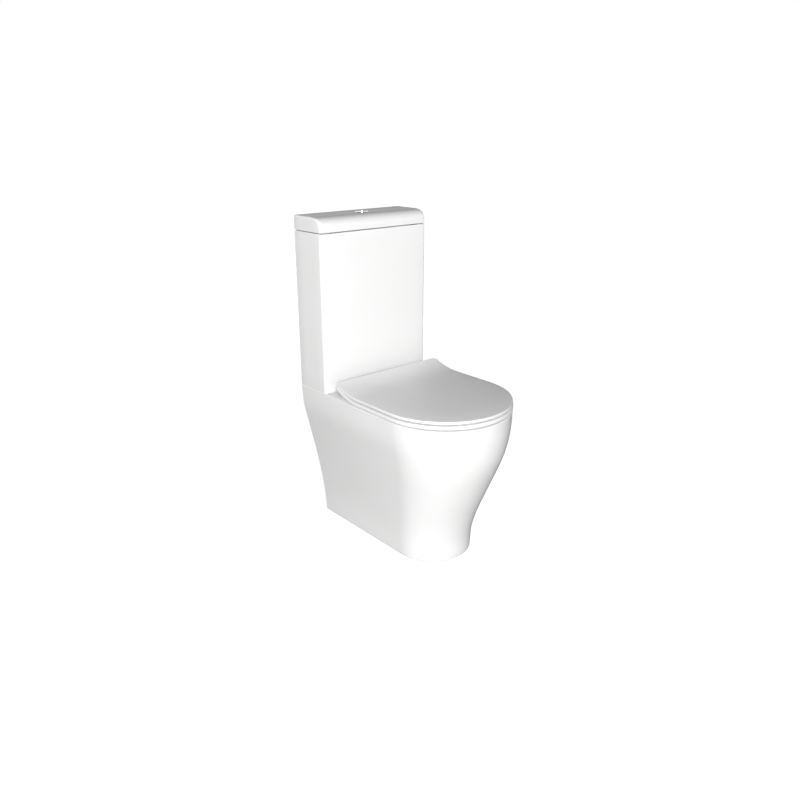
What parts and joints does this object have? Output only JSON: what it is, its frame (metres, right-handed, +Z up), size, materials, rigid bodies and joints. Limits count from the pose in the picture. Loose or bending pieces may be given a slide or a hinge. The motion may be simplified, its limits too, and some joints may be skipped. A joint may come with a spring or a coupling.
{
  "type": "close coupled toilet",
  "caption": "Back-to-wall close coupled toilet: white ceramic pan, slim cistern with lift-off lid, twin push buttons, thin D-shaped seat ring and cover, flush and fill valves inside.",
  "frame": {"origin": "on the floor under the middle of the toilet's overall box, in its plane of symmetry", "axes": "+Z up, +Y towards the wall behind it, -Y towards its front, +X to the right of someone facing it"},
  "size_m": [0.366, 0.5679, 0.888],
  "materials": {
    "china": "gloss",
    "seat_plastic": "gloss",
    "chrome": "polished",
    "steel": "satin",
    "white_plastic": "satin",
    "blue_plastic": "satin",
    "rubber": "matte"
  },
  "bodies": {
    "fixture": {"pan": "china", "cistern_tank": "china", "valve_base": "white_plastic", "valve_base_washer": "rubber", "valve_backnut": "white_plastic", "valve_tower": "blue_plastic", "lever_pins": "steel", "coupling_gasket": "rubber", "coupling_bolts": "steel", "coupling_bolt_seals": "rubber", "coupling_deck_washers": "rubber", "coupling_washers": "steel", "coupling_wing_nuts": "steel", "fill_valve_body": "white_plastic", "fill_valve_washer": "rubber", "fill_valve_locknut": "white_plastic", "fill_valve_head": "blue_plastic", "float_arm_pin": "steel", "hinge_base_plates": "chrome", "hinge_blocks": "chrome", "hinge_pins": "steel", "hinge_dampers": "blue_plastic", "hinge_bolts": "steel", "hinge_bolt_seals": "rubber", "hinge_washers": "steel", "hinge_wing_nuts": "white_plastic"},
    "lid": {"cistern_lid": "china", "lid_pads": "rubber", "button_bezel": "chrome", "button_nut": "white_plastic", "full_button_spring": "steel", "half_button_spring": "steel"},
    "full_button": {"full_flush_button": "chrome", "full_push_rod": "white_plastic"},
    "half_button": {"half_flush_button": "chrome", "half_push_rod": "white_plastic"},
    "full_lever": {"full_flush_lever": "white_plastic"},
    "half_lever": {"half_flush_lever": "white_plastic"},
    "overflow": {"overflow_tube": "white_plastic", "lift_yoke": "blue_plastic", "flush_seal": "rubber"},
    "float": {"fill_float": "white_plastic", "float_link_rod": "blue_plastic"},
    "arm": {"float_arm": "white_plastic"},
    "ring": {"seat_ring": "seat_plastic", "ring_buffers": "seat_plastic"},
    "cover": {"seat_cover": "seat_plastic", "cover_buffers": "seat_plastic"}
  },
  "joints": [
    {"name": "lid_lift", "type": "slide", "parent": "fixture", "child": "lid", "axis": [0, 0, 1], "range_m": [0, 0.15]},
    {"name": "full_button_press", "type": "slide", "parent": "lid", "child": "full_button", "axis": [0, 0, -1], "range_m": [0, 0.008], "stiffness_N_per_m": 400, "springref_m": -0.006, "deforming": ["full_button_spring"]},
    {"name": "half_button_press", "type": "slide", "parent": "lid", "child": "half_button", "axis": [0, 0, -1], "range_m": [0, 0.008], "stiffness_N_per_m": 400, "springref_m": -0.006, "deforming": ["half_button_spring"]},
    {"name": "full_lever_rock", "type": "hinge", "parent": "fixture", "child": "full_lever", "pos_m": [0.026, 0.225, 0.728], "axis": [0, -1, 0], "range_deg": [0, 28]},
    {"name": "half_lever_rock", "type": "hinge", "parent": "fixture", "child": "half_lever", "pos_m": [-0.026, 0.225, 0.728], "axis": [0, 1, 0], "range_deg": [0, 28]},
    {"name": "overflow_lift", "type": "slide", "parent": "fixture", "child": "overflow", "axis": [0, 0, 1], "range_m": [0, 0.0155]},
    {"name": "float_rise", "type": "slide", "parent": "fixture", "child": "float", "axis": [0, 0, 1], "range_m": [0, 0.016]},
    {"name": "float_arm_swing", "type": "hinge", "parent": "fixture", "child": "arm", "pos_m": [0.142, 0.225, 0.782], "axis": [0, 1, 0], "range_deg": [0, 23]},
    {"name": "seat_ring_lift", "type": "hinge", "parent": "fixture", "child": "ring", "pos_m": [0, 0.124, 0.444], "axis": [1, 0, 0], "range_deg": [-92, 0]},
    {"name": "seat_cover_lift", "type": "hinge", "parent": "ring", "child": "cover", "pos_m": [0, 0.124, 0.444], "axis": [-1, 0, 0], "range_deg": [0, 94]}
  ],
  "couplings": [
    {"joint": "full_lever_rock", "follows": "full_button_press", "rad_per_m": 61},
    {"joint": "half_lever_rock", "follows": "half_button_press", "rad_per_m": 61},
    {"joint": "overflow_lift", "follows": "full_button_press", "ratio": 1.9375},
    {"joint": "float_arm_swing", "follows": "float_rise", "rad_per_m": 25.08}
  ]
}
